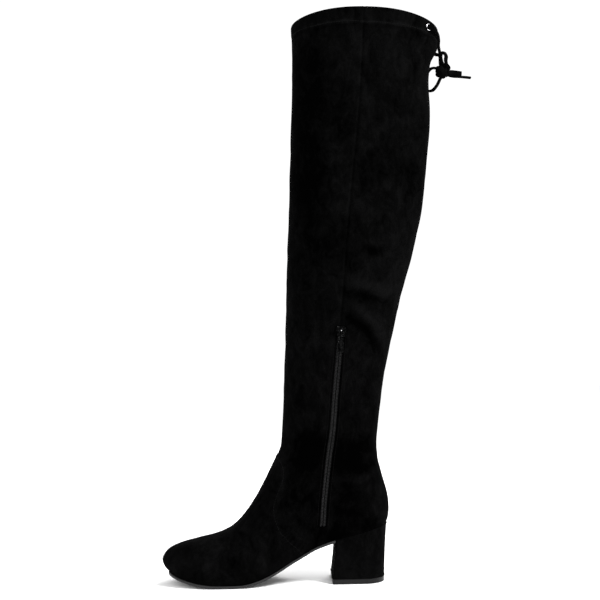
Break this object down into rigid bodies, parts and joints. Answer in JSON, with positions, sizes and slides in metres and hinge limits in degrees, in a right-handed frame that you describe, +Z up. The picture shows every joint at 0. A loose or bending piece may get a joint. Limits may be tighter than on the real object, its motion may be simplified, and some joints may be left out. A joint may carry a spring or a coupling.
{
  "type": "over-the-knee boot",
  "caption": "Tall black suede boot, over the knee, with a rounded toe, covered block heel, inner half-length zip and a tied drawstring at the back of the collar.",
  "frame": {"origin": "middle of the heel's lower face, on the floor", "axes": "+Z up the shaft; the toe points to -Y; the inner (medial) side with the zip faces +X"},
  "size_m": [0.096, 0.3366, 0.608],
  "materials": {
    "upper_suede": "matt nap",
    "lace": "matt nap",
    "heel_cover": "plastic block covered in matt suede",
    "sock": "matt",
    "outsole": "satin",
    "heel_tip": "satin",
    "zip_tape": "woven",
    "zip_coil": "semi-gloss nylon",
    "zip_metal": "black nickel",
    "eyelet": "polished silver"
  },
  "bodies": {
    "boot": {"upper": "upper_suede", "insole": "sock", "outsole": "outsole", "heel_block": "heel_cover", "heel_top_piece": "heel_tip", "zip_tape": "zip_tape", "zip_coil": "zip_coil", "zip_slider": "zip_metal", "eyelet_medial": "eyelet", "eyelet_lateral": "eyelet", "lace_run_medial": "lace", "lace_run_lateral": "lace", "lace_knot": "lace", "lace_loop_medial": "lace", "lace_loop_lateral": "lace", "lace_end_medial": "lace", "lace_end_lateral": "lace"},
    "pull_tab": {"zip_pull_tab": "zip_metal"}
  },
  "joints": [
    {"name": "pull_tab_hinge", "type": "hinge", "parent": "boot", "child": "pull_tab", "pos_m": [0.04339, -0.02307, 0.26185], "axis": [-0.0173, -0.9999, 0], "range_deg": [0, 165]}
  ]
}
